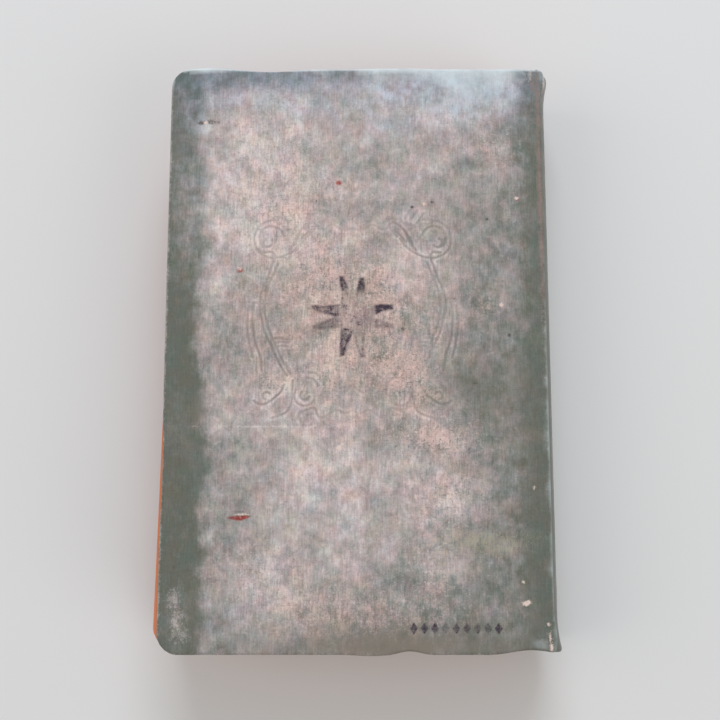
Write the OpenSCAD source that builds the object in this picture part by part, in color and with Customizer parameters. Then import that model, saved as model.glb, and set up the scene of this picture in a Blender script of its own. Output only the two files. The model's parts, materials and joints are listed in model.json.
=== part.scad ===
// Small prayer book in a limp cloth case, lying on its front cover with the rear cover up.
// +X points to the spine, +Y to the head of the book and +Z up. Millimetres throughout.

/* [Case] */
// Height of the covers from head to tail
cover_h = 160; // [120:1:200]
// Width of a cover from its fore-edge to the axis of its joint
cover_w = 102.5; // [75:0.5:130]
// Radius of the two rounded fore-edge corners of a cover
cover_corner_r = 6.5; // [4:0.5:12]
// Thickness of the book cloth
cloth_t = 0.4; // [0.3:0.05:0.6]
// Thickness of the card inside each cover
board_t = 1; // [0.8:0.1:1.6]
// Width of the cloth turned in over the inside of each cover
turn_in_w = 13; // [8:1:18]

/* [Endpapers] */
// Thickness of the endpapers
endpaper_t = 0.2; // [0.15:0.05:0.3]
// Margin of turned-in cloth left bare round a pastedown
pastedown_margin = 3; // [2:0.5:6]
// Distance from the axis of a cover's joint to the fold of its flyleaf
flyleaf_gutter = 5; // [4:0.5:8]

/* [Text block] */
// Number of folded sections sewn into the text block
section_count = 24; // [16:1:28]
// Thickness of one pressed section
section_t = 0.97; // [0.8:0.01:1.3]
// How far the covers stand past the leaves at head and at tail
head_square = 2; // [1.8:0.1:4]
// How far the covers stand past the outermost leaves at the fore-edge
fore_square = 1; // [0.5:0.1:4]
// Radius of the rounded fore-edge corners of the leaves
leaf_corner_r = 5; // [3:0.5:10]
// Number of loose leaves that turn after the last section
leaf_count = 4; // [2:1:6]
// Thickness of a turning leaf
leaf_t = 0.25; // [0.15:0.05:0.4]
// Step between the folds of neighbouring turning leaves
gutter_step = 0.7; // [0.6:0.1:1.2]

/* [Spine] */
// How far the spine arches out past its two joints
spine_bulge = 3; // [2:0.25:5]
// Thickness of the card inlay in the spine
inlay_t = 0.6; // [0.4:0.1:1]
// Hollow between the spine inlay and the lining on the back of the leaves
hollow_gap = 0.7; // [0.7:0.05:1.2]
// Length of the cloth turned in at the head and tail of the spine
spine_turn_in = 11; // [8:1:18]
// How far the worn head and tail caps flare out
cap_flare = 1.2; // [0.4:0.1:2]
// Length over which a cap flares
cap_l = 9; // [5:1:14]
// Thickness of the paper lining on the back
lining_t = 0.3; // [0.2:0.05:0.5]
// Distance from the ends of the lining to the ends of the leaves
lining_inset = 3; // [1:0.5:8]
// Thickness of the open-weave mull under the lining
mull_t = 0.25; // [0.2:0.05:0.4]
// Distance from the ends of the mull to the ends of the leaves
mull_inset = 9; // [8:0.5:16]

/* [Sewing] */
// Width of a sewing tape
tape_w = 9; // [6:1:14]
// Thickness of a sewing tape
tape_t = 0.3; // [0.2:0.05:0.5]
// Distance between neighbouring tapes
tape_pitch = 40; // [25:1:55]
// Diameter of the sewing thread
thread_d = 0.4; // [0.3:0.05:0.6]
// Distance from the kettle stitches to the ends of the leaves
kettle_inset = 14; // [11:1:20]
// Diameter of the bead of an endband
endband_d = 1.5; // [1:0.1:1.7]
// Length of the endband's skirt glued down the back
endband_skirt = 7; // [4:0.5:9]

/* [Clearances] */
// Gap between a cover's joint and the edge of the spine
joint_gap = 0.2; // [0.15:0.05:0.4]
// Gap between loose papers
paper_gap = 0.06; // [0.05:0.01:0.1]
// Gap between the fold of a turning leaf and its sewn stub
stub_gap = 0.45; // [0.4:0.05:0.8]

/* [Hidden] */
$fn = 48;
tape_count = 3;
cap_steps = 6;
nose_step = 30;
arc_margin = 4;

// Thicknesses of a whole cover and of a cover with its pastedown
joint_r = cloth_t + board_t / 2;
cover_t = 2 * joint_r;
inner_t = cover_t + endpaper_t;

// Heights through the closed book, from the front cover up
front_flyleaf_z = inner_t + paper_gap;
block_z = front_flyleaf_z + endpaper_t + paper_gap;
stub_z = block_z + section_count * section_t;
rear_flyleaf_z = stub_z + paper_gap + leaf_count * (leaf_t + paper_gap);
back_top_z = rear_flyleaf_z + endpaper_t;
book_t = back_top_z + paper_gap + inner_t;
mid_z = book_t / 2;

// Places across the book: the joint axes, the fore-edge and the ends of the leaves
spine_reach = joint_r + spine_bulge + cap_flare;
joint_x = (cover_w - spine_reach) / 2;
fore_x = joint_x - cover_w;
leaf_h = cover_h - 2 * head_square;

// Outline of the card inside a cover, within its cloth
board_x = fore_x + cloth_t;
board_h = cover_h - 2 * cloth_t;
board_corner_r = cover_corner_r - cloth_t;

// The spine is an arc about a line parallel to Y, and every layer under it shares that line
spine_half = mid_z - cover_t - joint_gap;
spine_r = (spine_half * spine_half + spine_bulge * spine_bulge) / (2 * spine_bulge);
arc_x = joint_x + joint_r + spine_bulge - spine_r;
inlay_r = spine_r - cloth_t;
inlay_in_r = inlay_r - inlay_t;
lining_r = inlay_in_r - hollow_gap;
mull_r = lining_r - lining_t;
thread_r = mull_r - mull_t;
tape_r = thread_r - thread_d;
back_r = tape_r - tape_t;
arc_half = asin(min(0.9, (mid_z - inner_t) / (tape_r - endband_d))) + arc_margin;

// The folds of the sections lie along the rounded back, so the fore-edge is hollow
function section_z(i) = block_z + (i - 1) * section_t;
function fold_x(z) = arc_x + sqrt(pow(back_r - section_t / 2, 2) - pow(z + section_t / 2 - mid_z, 2));
function fold_angle(z) = asin((z + section_t / 2 - mid_z) / (back_r - section_t / 2));
section_w = fold_x(block_z) - fore_x - fore_square;
last_fore_x = fold_x(section_z(section_count)) - section_w;

// Turning leaves are counted from the rear flyleaf down, each folding a step further in
function leaf_z(m) = rear_flyleaf_z - m * (leaf_t + paper_gap);
function leaf_fold_x(m) = joint_x - flyleaf_gutter - m * gutter_step;
function back_x(z) = arc_x + sqrt(back_r * back_r - pow(max(abs(z - mid_z), abs(z + leaf_t - mid_z)), 2));

// How far a cap stands out at a height along the spine
function flare(y) = cap_flare * pow(max(0, abs(y) - cover_h / 2 + cap_l) / cap_l, 2);

function two_digits(i) = str(i < 10 ? "0" : "", i);
function section_name(i) = str("section_", two_digits(i));
function leaf_name(m) = str("turning_leaf_", m);

// Turns what is drawn for the front cover into its twin at the rear
module at_rear() {
    translate([0, 0, book_t]) mirror([0, 0, 1]) children();
}

// Outline of a leaf: square at the back, with rounded corners at the fore-edge
module leaf_outline(x0, x1, h, r) {
    translate([x0 + r, -h / 2]) square([x1 - x0 - r, h]);
    translate([x0, r - h / 2]) square([r, h - 2 * r]);
    for (side = [-1, 1]) translate([x0 + r, side * (h / 2 - r)]) circle(r);
}

// A flat sheet with a half-round fold along its back edge
module folded_sheet(x0, x1, z, t, r) {
    translate([0, 0, z]) linear_extrude(t) leaf_outline(x0, x1, leaf_h, r);
    translate([x1, leaf_h / 2, z + t / 2]) rotate([90, 0, 0]) cylinder(h = leaf_h, d = t);
}

// Section through the edge of a plate, half-round at its outer end
module edge_section(w, t) {
    translate([0, -t / 2]) square([w - t / 2, t]);
    intersection() {
        translate([w - t / 2, 0]) circle(d = t);
        translate([w - t / 2, -t / 2]) square([t / 2, t]);
    }
}

// A plate with half-round edges and two rounded corners, cut square along the joint
module soft_plate(x0, x1, h, r, t) {
    run = x1 - x0 - r;
    translate([x0 + r, r - h / 2, -t / 2]) cube([run, h - 2 * r, t]);
    translate([x0 + r, h / 2 - r, 0]) rotate([90, 0, 180]) rotate([0, 180, 0])
        linear_extrude(h - 2 * r) mirror([1, 0]) edge_section(r, t);
    for (side = [0, 1]) mirror([0, side, 0]) {
        translate([x0 + r, h / 2 - r, 0]) rotate([0, 90, 0]) rotate([0, 0, 90])
            linear_extrude(run) edge_section(r, t);
        translate([x0 + r, h / 2 - r, 0]) rotate([0, 0, 90])
            rotate_extrude(angle = 90) edge_section(r, t);
    }
}

// Revolves a section (radius, height) about the line that the spine is rounded on
module round_back() {
    translate([arc_x, 0, mid_z]) rotate([-90, 0, 0]) rotate([0, 0, -arc_half])
        rotate_extrude(angle = 2 * arc_half) children();
}

// Cuts a rounded layer off level between two heights
module between(z0, z1) {
    intersection() {
        children();
        translate([arc_x, -cover_h, z0]) cube([2 * spine_r, 2 * cover_h, z1 - z0]);
    }
}

// A plain layer on the back of the leaves
module back_layer(r0, r1, h) {
    between(block_z, back_top_z) round_back() translate([r0, -h / 2]) square([r1 - r0, h]);
}

// Section of a spine layer that follows the flare of the caps, with rounded ends
module flared_band(r0, r1, half_h) {
    nose = (r1 - r0) / 2;
    top = half_h - nose;
    start = cover_h / 2 - cap_l;
    heights = [for (i = [0:cap_steps]) start + (top - start) * i / cap_steps];
    outer = [for (y = heights) [r1 + flare(y), y]];
    inner = [for (i = [cap_steps:-1:0]) [r0 + flare(heights[i]), heights[i]]];
    round_end = [for (a = [nose_step:nose_step:180 - nose_step])
        [(r0 + r1) / 2 + flare(top) + nose * cos(a), top + nose * sin(a)]];
    upper = concat(outer, round_end, inner);
    lower = [for (i = [len(upper) - 1:-1:0]) [upper[i][0], -upper[i][1]]];
    polygon(concat(upper, lower));
}

module board() {
    color("#b59a7c") {
        translate([0, 0, joint_r])
            soft_plate(board_x, joint_x, board_h, board_corner_r, board_t);
        translate([joint_x, cover_h / 2 - joint_r, joint_r]) rotate([90, 0, 0])
            cylinder(h = cover_h - 2 * joint_r, d = board_t);
    }
}

// The panel of board that the turned-in cloth leaves bare
module turn_in_window(inset) {
    translate([fore_x + turn_in_w + inset, turn_in_w + inset - cover_h / 2])
        square([cover_w - turn_in_w - inset, cover_h - 2 * (turn_in_w + inset)]);
}

module cover_cloth() {
    color("#8d8c80") difference() {
        translate([0, 0, joint_r]) soft_plate(fore_x, joint_x, cover_h, cover_corner_r, cover_t);
        translate([0, 0, joint_r])
            soft_plate(board_x, joint_x + joint_r, board_h, board_corner_r, board_t);
        translate([0, 0, joint_r]) linear_extrude(cover_t) union() {
            turn_in_window(0);
            translate([joint_x - joint_r, turn_in_w - cover_h / 2])
                square([2 * joint_r, cover_h - 2 * turn_in_w]);
        }
    }
}

// The endpaper pasted over the turned-in cloth, sunk where there is none under it
module pastedown() {
    board_z = cloth_t + board_t;
    margin_r = max(endpaper_t, cover_corner_r - pastedown_margin);
    end_x = joint_x - joint_r;
    color("#e4d6b8") {
        difference() {
            translate([0, 0, cover_t]) linear_extrude(endpaper_t)
                leaf_outline(fore_x + pastedown_margin, end_x, cover_h - 2 * pastedown_margin, margin_r);
            linear_extrude(2 * inner_t) turn_in_window(endpaper_t);
        }
        translate([0, 0, board_z]) linear_extrude(endpaper_t) difference() {
            turn_in_window(0);
            translate([end_x, -cover_h / 2]) square([cover_t, cover_h]);
        }
        translate([0, 0, board_z + endpaper_t]) linear_extrude(cover_t - board_z - endpaper_t) difference() {
            turn_in_window(0);
            turn_in_window(endpaper_t);
            translate([end_x, -cover_h / 2]) square([cover_t, cover_h]);
        }
    }
}

// The cloth that bends round the edge of the board and runs on to the spine
module joint_cloth() {
    color("#86867a") translate([joint_x, cover_h / 2, joint_r]) rotate([90, 0, 0]) linear_extrude(cover_h) {
        difference() {
            intersection() {
                circle(joint_r);
                translate([0, -joint_r]) square(joint_r);
            }
            circle(d = board_t);
        }
        translate([board_t / 2, 0]) square([cloth_t, joint_r + joint_gap]);
    }
}

module flyleaf(z) {
    color("#e9dcc0")
        folded_sheet(last_fore_x, joint_x - flyleaf_gutter, z, endpaper_t, leaf_corner_r);
}

module spine_cloth() {
    color("#85857a") between(cover_t + joint_gap, book_t - cover_t - joint_gap) round_back() difference() {
        flared_band(inlay_in_r - cloth_t, spine_r, cover_h / 2);
        flared_band(inlay_in_r, inlay_r, cover_h / 2 - cloth_t);
        translate([inlay_in_r - 2 * cloth_t, spine_turn_in - cover_h / 2])
            square([2 * cloth_t, cover_h - 2 * spine_turn_in]);
    }
}

module spine_inlay() {
    color("#a98f70") between(cover_t + joint_gap, book_t - cover_t - joint_gap) round_back()
        flared_band(inlay_in_r, inlay_r, cover_h / 2 - cloth_t);
}

module spine_lining() {
    color("#9c8663") back_layer(mull_r, lining_r, leaf_h - 2 * lining_inset);
}

module mull() {
    color("#d8d2bf") back_layer(thread_r, mull_r, leaf_h - 2 * mull_inset);
}

module sewing_tapes() {
    color("#e6dfcd") for (i = [1:tape_count]) translate([0, (i - (tape_count + 1) / 2) * tape_pitch, 0])
        back_layer(back_r, tape_r, tape_w);
}

// One stitch: the thread leaves the fold, passes over the tape and goes back in
module stitch() {
    reach = tape_w / 2 + thread_d / 2;
    translate([tape_r + thread_d / 2, reach, 0]) rotate([90, 0, 0]) cylinder(h = 2 * reach, d = thread_d);
    for (side = [-1, 1]) translate([back_r, side * reach, 0]) rotate([0, 90, 0])
        cylinder(h = tape_t + thread_d, d = thread_d);
}

module sewing_thread() {
    color("#efe8d6") {
        for (i = [1:section_count], j = [1:tape_count])
            translate([arc_x, (j - (tape_count + 1) / 2) * tape_pitch, mid_z])
                rotate([0, -fold_angle(section_z(i)), 0]) stitch();
        for (side = [-1, 1]) between(block_z + section_t / 2, stub_z - section_t / 2) round_back()
            translate([back_r + thread_d / 2, side * (leaf_h / 2 - kettle_inset)]) circle(d = thread_d);
    }
}

// A rolled bead that sits on the ends of the leaves, with a skirt glued down their back
module endband() {
    color("#b8a888") between(block_z, back_top_z) round_back() {
        translate([tape_r - endband_d / 2, (leaf_h + endband_d) / 2]) circle(d = endband_d);
        translate([back_r, leaf_h / 2 - endband_skirt]) square([tape_t, endband_skirt + endband_d / 2]);
    }
}

module head_band() {
    endband();
}

module tail_band() {
    mirror([0, 1, 0]) endband();
}

// The narrow inner margins of the turning leaves, sewn in with the last section
module leaf_stubs() {
    color("#e2d5b8") {
        for (m = [1:leaf_count]) stub(leaf_fold_x(m) + leaf_t / 2, leaf_z(m) - paper_gap, leaf_t + paper_gap);
        stub(leaf_fold_x(0) + endpaper_t / 2, rear_flyleaf_z - paper_gap, endpaper_t + paper_gap);
    }
}

module stub(fold_end_x, z, t) {
    x0 = fold_end_x + stub_gap;
    translate([x0, -leaf_h / 2, z]) cube([back_x(z) - x0, leaf_h, t]);
}

module section(i) {
    z = section_z(i);
    color("#dccdae") folded_sheet(fold_x(z) - section_w, fold_x(z), z, section_t, leaf_corner_r);
}

module turning_leaf(m) {
    color("#e5d8bb") folded_sheet(last_fore_x, leaf_fold_x(m), leaf_z(m), leaf_t, leaf_corner_r);
}

cover_cloth();  // front_cloth
board();  // front_board
pastedown();  // front_pastedown
flyleaf(front_flyleaf_z);  // front_flyleaf
joint_cloth();  // front_joint_cloth
at_rear() cover_cloth();  // rear_cloth
at_rear() board();  // rear_board
at_rear() pastedown();  // rear_pastedown
flyleaf(rear_flyleaf_z);  // rear_flyleaf
at_rear() joint_cloth();  // rear_joint_cloth
spine_cloth();
spine_inlay();
spine_lining();
mull();
sewing_tapes();
sewing_thread();
head_band();
tail_band();
leaf_stubs();
for (i = [1:section_count]) section(i);
for (m = [1:leaf_count]) turning_leaf(m);
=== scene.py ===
import json
import math

import bmesh
import bpy
import numpy as np
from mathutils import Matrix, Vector, kdtree


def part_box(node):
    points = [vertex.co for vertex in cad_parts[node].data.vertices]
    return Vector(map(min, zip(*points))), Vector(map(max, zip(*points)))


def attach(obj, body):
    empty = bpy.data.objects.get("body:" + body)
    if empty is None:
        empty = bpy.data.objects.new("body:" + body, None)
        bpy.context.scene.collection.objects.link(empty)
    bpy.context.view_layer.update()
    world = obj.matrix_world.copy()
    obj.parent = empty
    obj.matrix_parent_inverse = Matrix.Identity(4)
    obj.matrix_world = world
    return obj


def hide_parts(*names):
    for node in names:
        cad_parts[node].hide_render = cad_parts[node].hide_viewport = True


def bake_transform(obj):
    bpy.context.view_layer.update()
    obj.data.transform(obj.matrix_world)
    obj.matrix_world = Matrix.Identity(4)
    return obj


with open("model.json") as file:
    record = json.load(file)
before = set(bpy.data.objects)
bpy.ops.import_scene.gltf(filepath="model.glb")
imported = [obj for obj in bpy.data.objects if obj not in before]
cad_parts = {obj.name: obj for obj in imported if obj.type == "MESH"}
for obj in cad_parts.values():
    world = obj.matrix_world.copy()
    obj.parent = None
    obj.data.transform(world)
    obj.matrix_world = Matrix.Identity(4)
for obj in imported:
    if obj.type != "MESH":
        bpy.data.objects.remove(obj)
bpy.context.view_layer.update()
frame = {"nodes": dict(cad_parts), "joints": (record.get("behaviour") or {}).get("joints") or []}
mm = 0.001


# The text block: 24 sections of thin rag paper, each a pile of folded sheets sewn through its fold.
# The leaves were trimmed together and their edges sponged with red stain, now faded to salmon.
# The old block has slipped a little, so that its fore-edge creeps out under the cover at the tail.
section_nodes = sorted(n for n in frame["nodes"] if n.startswith("section_"))
section_lo, section_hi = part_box(section_nodes[0])
section_t = section_hi.z - section_lo.z
fold_x = section_hi.x - section_t / 2
leaf_half_h = section_hi.y
leaf_corner_r = 5 * mm
groove_depth = 0.09 * mm
groove_share = 0.28
trim_wander = [0.0, -0.14 * mm, 0.06 * mm, -0.22 * mm, 0.08 * mm, -0.08 * mm]
leaf_pitch = section_t / len(trim_wander)
fore_shuffle = 0.16 * mm
head_shuffle = 0.1 * mm
sewn_w = 30 * mm
fore_slip = 2.9 * mm


def colour(code):
    """The linear colour of an sRGB hex value."""
    parts = [int(code[i:i + 2], 16) / 255 for i in (1, 3, 5)]
    return [c / 12.92 if c <= 0.04045 else ((c + 0.055) / 1.055) ** 2.4 for c in parts] + [1]


def fill(node, inputs):
    """Fills a node's inputs with values, or links them to sockets or to the first outputs of other nodes."""
    for name, value in dict(inputs).items():
        if isinstance(value, bpy.types.Node):
            value = value.outputs[0]
        if isinstance(value, bpy.types.NodeSocket):
            node.id_data.links.new(value, node.inputs[name])
        else:
            node.inputs[name].default_value = value


def add(tree, kind, inputs=(), stops=(), **settings):
    """Adds a node with its settings and inputs, and a colour ramp's stops, each a place and a hex colour."""
    node = tree.nodes.new("ShaderNode" + kind)
    for name, value in settings.items():
        setattr(node, name, value)
    fill(node, inputs)
    for _ in stops[2:]:
        node.color_ramp.elements.new(0.5)
    for n, (place, code) in enumerate(stops):
        node.color_ramp.elements[n].position = place
        node.color_ramp.elements[n].color = colour(code)
    return node


def start_material(name, **settings):
    """A new material with its node tree and its surface shader, whose plain values are given here."""
    made = bpy.data.materials.new(name)
    made.use_nodes = True
    shader = made.node_tree.nodes["Principled BSDF"]
    fill(shader, {socket.replace("_", " "): value for socket, value in settings.items()})
    return made, made.node_tree, shader


def take(piece):
    """Makes a piece the only one at hand."""
    bpy.ops.object.select_all(action="DESELECT")
    bpy.context.view_layer.objects.active = piece
    piece.select_set(True)


def edit(piece):
    """Opens a piece in edit mode with nothing picked."""
    take(piece)
    bpy.ops.object.mode_set(mode="EDIT")
    bpy.ops.mesh.select_mode(type="VERT")
    bpy.ops.mesh.select_all(action="DESELECT")


def pick(piece, kind, test=lambda part: True):
    """In edit mode, picks just the verts, edges or faces that pass a test, or all of them."""
    bpy.ops.mesh.select_mode(type={"verts": "VERT", "edges": "EDGE", "faces": "FACE"}[kind])
    bpy.ops.mesh.select_all(action="DESELECT")
    shape = bmesh.from_edit_mesh(piece.data)
    for part in getattr(shape, kind):
        if test(part):
            part.select_set(True)
    bmesh.update_edit_mesh(piece.data)


def done():
    """Leaves edit mode."""
    bpy.ops.object.mode_set(mode="OBJECT")


def new_sheet(name, x0, x1, half_h, z, step, corner_r=0.0):
    """A flat grid in the plane of a leaf or cover, with squares of about the given step.

    Its two fore-edge corners are trimmed round with straight cuts, as with a corner knife."""
    bpy.ops.object.select_all(action="DESELECT")
    bpy.ops.mesh.primitive_grid_add(
        x_subdivisions=max(1, round((x1 - x0) / step)), y_subdivisions=max(1, round(2 * half_h / step)),
        size=1, location=((x0 + x1) / 2, 0, z))
    piece = bpy.context.object
    piece.scale = (x1 - x0, 2 * half_h, 1)
    bpy.ops.object.transform_apply()
    piece.name = piece.data.name = name
    edit(piece)
    for side in (-1, 1) if corner_r else ():
        centre = Vector((x0 + corner_r, side * (half_h - corner_r), z))
        for a in np.radians(range(9, 90, 9)):
            way = Vector((-math.cos(a), side * math.sin(a), 0))
            bpy.ops.mesh.select_all(action="SELECT")
            bpy.ops.mesh.bisect(plane_co=centre + corner_r * way, plane_no=way, clear_outer=True)
    done()
    return piece


def corners_of(piece):
    """Every vertex's place in the part's frame, in metres."""
    place = np.empty(3 * len(piece.data.vertices))
    piece.data.vertices.foreach_get("co", place)
    return place.reshape(-1, 3)


def set_corners(piece, place):
    """Moves every vertex to its new place."""
    piece.data.vertices.foreach_set("co", place.ravel())
    piece.data.update()


def paint(piece, name, values):
    """Keeps a value, or a vector, for each vertex under a name that materials can read."""
    flat = np.asarray(values, np.float32)
    kind, field = ("FLOAT_VECTOR", "vector") if flat.ndim == 2 else ("FLOAT", "value")
    piece.data.attributes.new(name, kind, "POINT").data.foreach_set(field, flat.ravel())


def slip(piece):
    """Slides a leaf or section out towards the fore-edge at the tail, with its fold held by the sewing."""
    place = corners_of(piece)
    from_fold = np.clip((fold_x - place[:, 0]) / (fold_x - section_lo.x), 0, 1)
    from_head = 0.5 - place[:, 1] / (2 * leaf_half_h)
    place[:, 0] -= fore_slip * from_fold * from_head
    set_corners(piece, place)


def keep_place(piece):
    """Keeps where a piece lies at rest, in millimetres, so that patterns stay on it as it bends."""
    place = corners_of(piece) / mm
    paint(piece, "place", place)
    x, y = place[:, 0], place[:, 1]
    paint(piece, "margins", np.stack((x - x.min(), y.max() - y, y - y.min()), axis=1))


# Wove rag paper, a century old: matte, cream, browned towards its edges and lightly foxed.
# The red stain of the edges has bled a few millimetres into it.
def rag_paper(name, pale, brown, foxing):
    cloud_mm, brown_reach_mm, fox_mm, fibre_mm = 14, 22.0, 2.6, 0.5
    made, tree, shader = start_material(name, Roughness=0.85)
    place, margins = [add(tree, "Attribute", attribute_name=kept).outputs["Vector"]
                      for kept in ("place", "margins")]
    fore, head, tail = add(tree, "SeparateXYZ", {"Vector": margins}).outputs
    edge = add(tree, "Math", {0: head, 1: tail}, operation="MINIMUM")
    edge = add(tree, "Math", {0: edge, 1: fore}, operation="MINIMUM")
    cloud, spots, fibre = [add(tree, "TexNoise", {"Vector": place, "Scale": 1 / size_mm, "Detail": detail})
                           for size_mm, detail in ((cloud_mm, 4), (fox_mm, 2), (fibre_mm, 3))]
    reach = add(tree, "Math", {0: cloud, 1: brown_reach_mm}, operation="MULTIPLY")
    browned = add(tree, "MapRange", {"Value": edge, "From Max": reach, "To Min": 1.0, "To Max": 0.0})
    foxed = add(tree, "MapRange", {"Value": spots, "From Min": 0.66, "From Max": 0.78, "To Max": foxing})
    stained = add(tree, "MapRange",
                  {"Value": edge, "From Min": 0.6, "From Max": 3.4, "To Min": 0.9, "To Max": 0.0})
    tone = colour(pale)
    for share, tint in ((browned, brown), (foxed, "#a8733f"), (stained, "#dd8159")):
        tone = add(tree, "MixRGB", {"Fac": share, "Color1": tone, "Color2": colour(tint)})
    grain = add(tree, "MapRange", {"Value": fibre, "To Min": 0.93, "To Max": 1.05})
    tone = add(tree, "MixRGB", {"Fac": 1.0, "Color1": tone, "Color2": grain}, blend_type="MULTIPLY")
    bump = add(tree, "Bump", {"Height": fibre, "Strength": 0.25, "Distance": 0.03 * mm})
    fill(shader, {"Base Color": tone, "Normal": bump})
    return made


# The trimmed edges of the leaves: red stain sponged on, worn to salmon, with a fine dark line between leaves
# as painted shade.
# The real lines are closer than 0.1 mm, so they are drawn a little coarser to show.
def red_stained_edges():
    line_mm, cloud_mm = 0.17, 9
    made, tree, shader = start_material("red_stained_edges", Roughness=0.8)
    place = add(tree, "Attribute", attribute_name="place").outputs["Vector"]
    piled = add(tree, "Mapping", {"Vector": place, "Scale": (0.12, 0.12, 1 / line_mm)})
    # The leaf lines paint the shade in the gaps between leaves.
    leaf_lines = add(tree, "TexNoise", {"Vector": piled, "Scale": 1.0, "Detail": 3})
    cloud = add(tree, "TexNoise", {"Vector": place, "Scale": 1 / cloud_mm, "Detail": 4})
    mixed = add(tree, "Math", {0: leaf_lines, 1: cloud}, operation="ADD")
    half = add(tree, "Math", {0: mixed, 1: 0.5}, operation="MULTIPLY")
    stain = add(tree, "ValToRGB", {"Fac": half},
                stops=[(0.3, "#8e3f2a"), (0.45, "#c46a48"), (0.56, "#d98a66"), (0.68, "#e3b394")])
    bump = add(tree, "Bump", {"Height": leaf_lines, "Strength": 0.5, "Distance": 0.08 * mm})
    fill(shader, {"Base Color": stain, "Normal": bump})
    return made


leaf_paper = rag_paper("leaf_rag_paper", "#e6d9bd", "#c9ac7c", 0.55)
stained_edges = red_stained_edges()


def dress(piece, *finishes):
    """Gives a piece its finishes, in place of any that it has."""
    piece.data.materials.clear()
    for finish in finishes:
        piece.data.materials.append(finish)


def leaf_finish(piece, paper):
    """Paper on the faces of the leaves and stain on their trimmed edges."""
    dress(piece, paper, stained_edges)
    for face in piece.data.polygons:
        face.material_index = 1 if abs(face.normal.z) < 0.6 else 0


pattern = new_sheet("section_pattern", section_lo.x, fold_x, leaf_half_h, section_lo.z, step=1.0,
                    corner_r=leaf_corner_r)
edit(pattern)
pick(pattern, "faces")
middle = Vector(((fold_x + section_lo.x) / 2, 0, section_lo.z))
half_w = (fold_x - section_lo.x) / 2
layers = []
for wander in trim_wander:
    layers.append((wander, leaf_pitch * (1 - groove_share)))
    layers.append((wander - groove_depth, leaf_pitch * groove_share))
outset_now = 0.0
for number, (outset, lift) in enumerate(layers[:-1]):
    if number > 0:
        bpy.ops.mesh.extrude_region_move()
    wider = (half_w + outset) / (half_w + outset_now)
    taller = (leaf_half_h + outset) / (leaf_half_h + outset_now)
    bpy.ops.transform.resize(value=(wider, taller, 1), center_override=middle)
    bpy.ops.mesh.extrude_region_move(TRANSFORM_OT_translate={"value": (0, 0, lift)})
    outset_now = outset
pick(pattern, "faces")
bpy.ops.mesh.normals_make_consistent(inside=False)
done()
place = corners_of(pattern)
at_fold = place[:, 0] > fold_x - 1 * mm
height = place[:, 2] - section_lo.z - section_t / 2
place[at_fold, 0] = fold_x + np.sqrt(np.maximum(0, (section_t / 2) ** 2 - height[at_fold] ** 2))
set_corners(pattern, place)
for number, node in enumerate(section_nodes):
    lo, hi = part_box(node)
    section = bpy.data.objects.new(node.replace("section", "folded_section"), pattern.data.copy())
    bpy.context.scene.collection.objects.link(section)
    place = corners_of(section)
    place += np.array(lo - section_lo) + np.array(((hi - lo - section_hi + section_lo).x, 0, 0))
    place[:, 0] += fore_shuffle * math.sin(2.4 * number) * (place[:, 0] < fold_x - sewn_w)
    place[:, 1] += head_shuffle * math.sin(4.1 * number)
    set_corners(section, place)
    keep_place(section)
    slip(section)
    leaf_finish(section, leaf_paper)
    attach(section, "text_block")
    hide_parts(node)
bpy.data.objects.remove(pattern)


# The sewing and the linings on the rounded back: cotton tapes, linen thread, open-weave mull and brown paper.
# They are the frame's own solids, glued to the folds with hide glue that has yellowed them, so that their
# threads stand pale on a brown ground. A wave node's bands lie about 0.31 mm apart at a scale of 1.
def lining_stock(name, pale, dark, thread_mm, roughness):
    cloud_mm = 3
    made, tree, shader = start_material(name, Roughness=roughness)
    where = add(tree, "TexCoord").outputs["Object"]
    across = add(tree, "Mapping", {"Vector": where, "Scale": (1 / mm,) * 3})
    rows = [add(tree, "TexWave", {"Vector": across, "Scale": 0.31 / thread_mm, "Distortion": 1.2},
                bands_direction=way).outputs["Fac"] for way in "YZ"]
    weave = add(tree, "Math", dict(enumerate(rows)), operation="MULTIPLY")
    cloud = add(tree, "TexNoise", {"Vector": across, "Scale": 1 / cloud_mm, "Detail": 5})
    tone = add(tree, "Math", {0: weave, 1: cloud, 2: cloud}, operation="MULTIPLY_ADD")
    shade = add(tree, "ValToRGB", {"Fac": tone}, stops=[(0.3, dark), (0.9, pale)])
    bump = add(tree, "Bump", {"Height": weave, "Strength": 0.5, "Distance": 0.08 * mm})
    fill(shader, {"Base Color": shade, "Normal": bump})
    return made


back_finishes = {
    "sewing_tapes": lining_stock("cotton_tape", "#ded3b6", "#a8946c", 0.5, 0.85),
    "sewing_thread": lining_stock("linen_thread", "#e2d8bf", "#b39d74", 0.25, 0.8),
    "mull": lining_stock("starched_mull", "#cfc6ab", "#8d7a57", 0.8, 0.9),
    "spine_lining": lining_stock("brown_lining_paper", "#a58a5e", "#7c6440", 0.3, 0.8),
}
for node, finish in back_finishes.items():
    dress(frame["nodes"][node], finish)


# The stubs of the loose last leaves, sewn in with the last section. They keep the frame's solid.
# Their faces are matte, browned rag paper. Their ends were trimmed and stained with the rest of the block.
stubs = frame["nodes"]["leaf_stubs"]


def stub_paper():
    cloud_mm = 4
    made, tree, shader = start_material("stub_rag_paper", Roughness=0.85)
    where = add(tree, "TexCoord").outputs["Object"]
    scaled = add(tree, "Mapping", {"Vector": where, "Scale": (1 / mm,) * 3})
    cloud = add(tree, "TexNoise", {"Vector": scaled, "Scale": 1 / cloud_mm, "Detail": 6})
    shade = add(tree, "ValToRGB", {"Fac": cloud}, stops=[(0.3, "#c2a374"), (0.7, "#dcc9a4")])
    fill(shader, {"Base Color": shade})
    return made


paint(stubs, "place", corners_of(stubs) / mm)
dress(stubs, stub_paper(), stained_edges)
for face in stubs.data.polygons:
    face.material_index = 1 if abs(face.normal.y) > 0.6 else 0


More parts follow.
